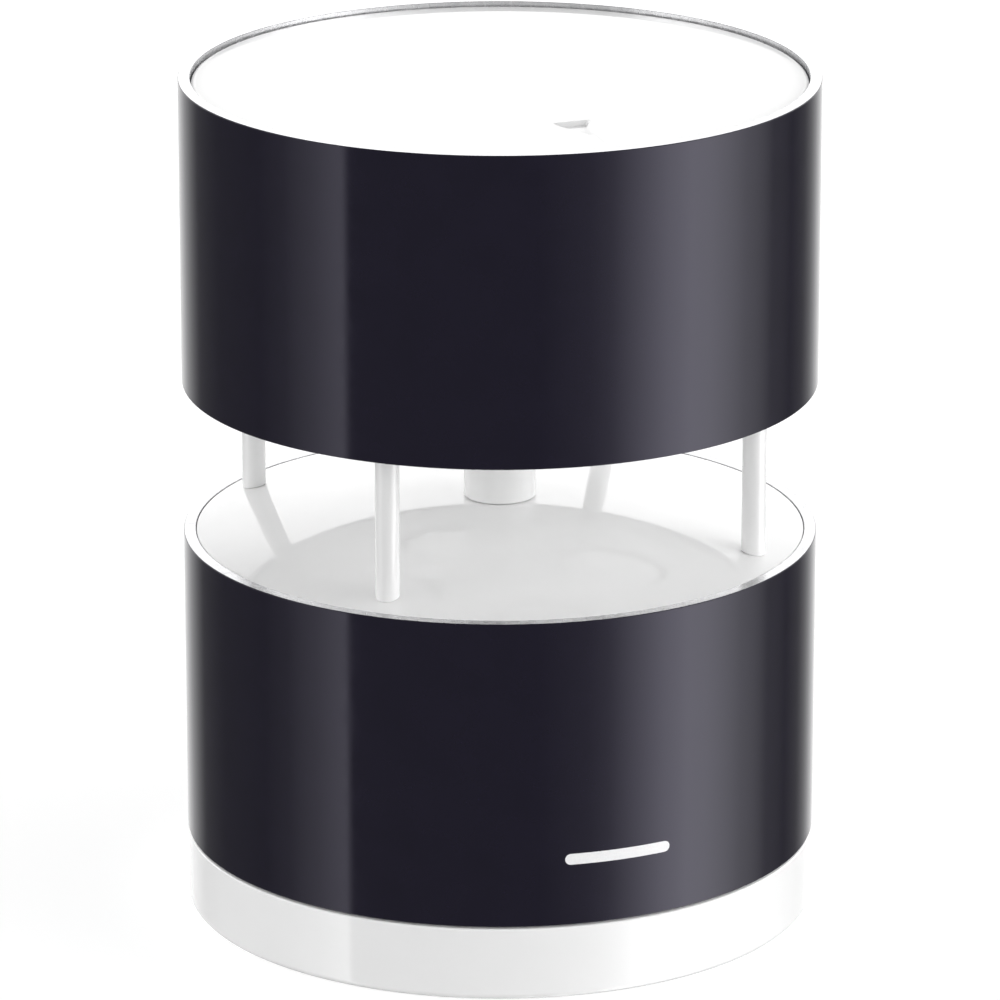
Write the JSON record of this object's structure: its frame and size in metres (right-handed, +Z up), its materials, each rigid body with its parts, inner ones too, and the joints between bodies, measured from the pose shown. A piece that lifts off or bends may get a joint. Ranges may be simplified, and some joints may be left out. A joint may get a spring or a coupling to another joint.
{
  "type": "ultrasonic wind gauge",
  "caption": "Round ultrasonic wind gauge: a black drum over another on slim posts, with a wind gap between, a north arrow on the cap, and a quarter-turn battery base.",
  "frame": {"origin": "centre of the underside, on the axis of both drums", "axes": "+Z up along the drums' axis; the cap's north arrow points along -Y"},
  "size_m": [0.085, 0.085, 0.1143],
  "materials": {
    "black_metal": "black anodised aluminium tube, bare machined rims",
    "white_gloss": "gloss white moulding",
    "white_plastic": "satin white moulding",
    "steel": "stainless screws, nickelled spring steel contacts",
    "brass": "turned brass",
    "rubber": "black silicone rubber",
    "foam": "closed cell foam rubber",
    "board_green": "glass-epoxy board with solder resist",
    "transducer_can": "bare aluminium can",
    "cell_jacket": "steel can in a printed film, no print",
    "wire_jacket": "grey PVC insulation"
  },
  "bodies": {
    "housing": {"battery_carrier": "white_plastic", "battery_spring_1": "steel", "battery_spring_2": "steel", "battery_spring_3": "steel", "battery_spring_4": "steel", "cap_gasket": "rubber", "carrier_screw_1": "steel", "carrier_screw_2": "steel", "carrier_screw_3": "steel", "carrier_screw_4": "steel", "cell_1": "cell_jacket", "cell_2": "cell_jacket", "cell_3": "cell_jacket", "cell_4": "cell_jacket", "centre_tube": "white_gloss", "contact_plate_1": "steel", "contact_plate_2": "steel", "contact_plate_3": "steel", "contact_plate_4": "steel", "lower_housing": "white_gloss", "lower_post_screw_1": "steel", "lower_post_screw_2": "steel", "lower_post_screw_3": "steel", "lower_post_screw_4": "steel", "lower_sleeve": "black_metal", "main_board": "board_green", "post_1": "white_gloss", "post_2": "white_gloss", "post_3": "white_gloss", "post_4": "white_gloss", "sensor_board": "board_green", "top_cap": "white_gloss", "transducer_1": "transducer_can", "transducer_2": "transducer_can", "transducer_3": "transducer_can", "transducer_4": "transducer_can", "transducer_boot_1": "rubber", "transducer_boot_2": "rubber", "transducer_boot_3": "rubber", "transducer_boot_4": "rubber", "transducer_clamp": "white_plastic", "upper_housing": "white_gloss", "upper_post_screw_1": "steel", "upper_post_screw_2": "steel", "upper_post_screw_3": "steel", "upper_post_screw_4": "steel", "upper_sleeve": "black_metal", "wire_loom": "wire_jacket"},
    "retainer": {"cell_retainer": "white_plastic", "cell_pad_1": "foam", "cell_pad_2": "foam"},
    "base": {"base_cover": "white_gloss", "base_seal": "rubber", "tripod_insert": "brass"}
  },
  "joints": [
    {"name": "base_drop", "type": "slide", "parent": "housing", "child": "retainer", "axis": [0, 0, -1], "range_m": [0, 0.006]},
    {"name": "base_turn", "type": "hinge", "parent": "retainer", "child": "base", "pos_m": [0, 0, 0], "axis": [0, 0, -1], "range_deg": [0, 90]}
  ],
  "couplings": [
    {"joint": "base_drop", "follows": "base_turn", "m_per_rad": 0.0038197}
  ]
}
